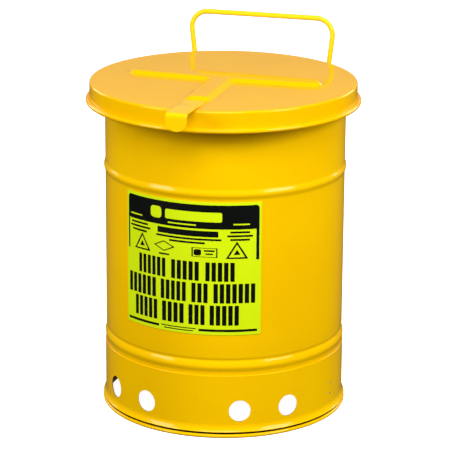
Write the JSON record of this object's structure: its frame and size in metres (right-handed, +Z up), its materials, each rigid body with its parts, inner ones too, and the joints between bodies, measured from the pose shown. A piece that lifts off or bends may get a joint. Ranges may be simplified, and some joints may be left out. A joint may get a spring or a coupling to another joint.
{
  "type": "oily waste can",
  "caption": "Round sheet-steel waste can on a vented skirt, with a self-closing hinged lid, a front lift tab and a wire carrying handle at the back.",
  "frame": {"origin": "on the ground, below the middle of the whole object's box", "axes": "+Z up; -Y is the front, where the lift tab is; the lid's hinge and the carrying handle are on the +Y side; +X completes the right-handed frame"},
  "size_m": [0.3232, 0.363, 0.4426],
  "materials": {
    "yellow_paint": "gloss",
    "label_vinyl": "gloss",
    "zinc": "satin"
  },
  "bodies": {
    "can": {"body_shell": "yellow_paint", "bottom_pan": "yellow_paint", "base_skirt": "yellow_paint", "foot_ring": "yellow_paint", "front_label": "label_vinyl", "hinge_bracket": "yellow_paint", "hinge_pin": "zinc", "pin_cap": "zinc", "carry_handle": "yellow_paint", "handle_clamp_left": "yellow_paint", "handle_clamp_right": "yellow_paint", "bracket_rivet_lower_left": "yellow_paint", "bracket_rivet_lower_right": "yellow_paint", "bracket_rivet_upper_left": "yellow_paint", "bracket_rivet_upper_right": "yellow_paint", "clamp_rivet_left_inner": "yellow_paint", "clamp_rivet_left_outer": "yellow_paint", "clamp_rivet_right_inner": "yellow_paint", "clamp_rivet_right_outer": "yellow_paint"},
    "lid": {"lid_cover": "yellow_paint", "lift_tab": "yellow_paint", "hinge_leaf": "yellow_paint", "leaf_rivet_left": "yellow_paint", "leaf_rivet_right": "yellow_paint"}
  },
  "joints": [
    {"name": "lid_hinge", "type": "hinge", "parent": "can", "child": "lid", "pos_m": [0, 0.175, 0.378], "axis": [-1, 0, 0], "range_deg": [0, 60]}
  ]
}
